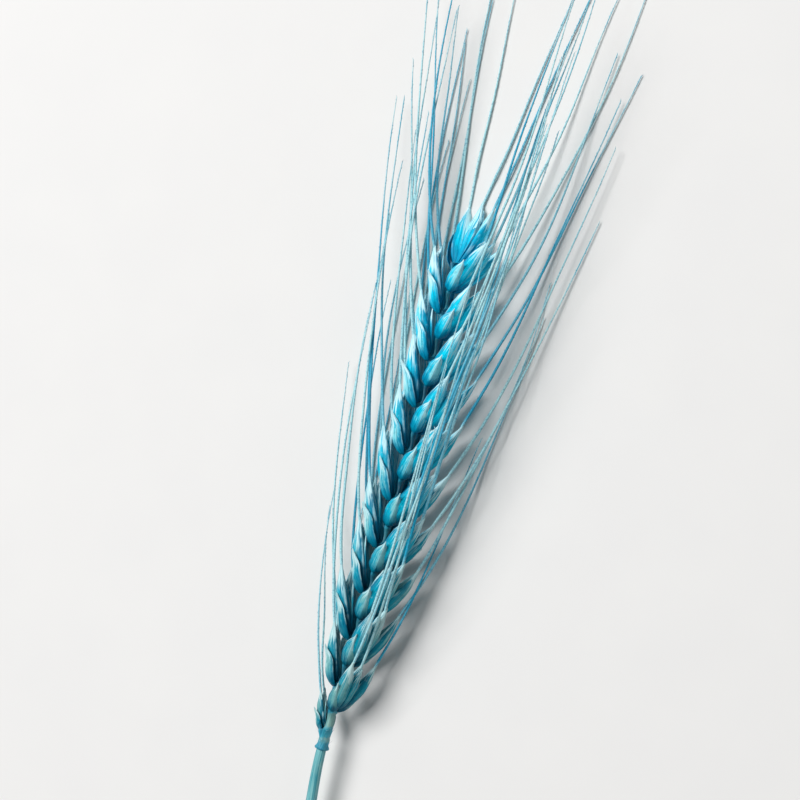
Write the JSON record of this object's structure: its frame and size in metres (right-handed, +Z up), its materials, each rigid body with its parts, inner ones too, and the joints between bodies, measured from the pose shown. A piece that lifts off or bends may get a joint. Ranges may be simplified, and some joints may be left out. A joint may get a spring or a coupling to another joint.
{
  "type": "wheat ear",
  "caption": "Bearded wheat ear on a short cut straw, lying down, with overlapping keeled scales in two rows and long fine bristles; dried and dyed for arrangements.",
  "frame": {"origin": "on the surface that the ear lies on, under the middle of its box", "axes": "+Y runs from the straw's cut end to the tips of the bristles, +Z points up from the surface, +X to the right of someone who looks down at the ear"},
  "size_m": [0.0432, 0.2024, 0.0228],
  "materials": {
    "chaff": "dyed dry chaff, matt with a slight sheen",
    "straw": "dyed dry straw, satin"
  },
  "bodies": {
    "root": {"ear": "chaff", "straw": "straw"}
  },
  "joints": []
}
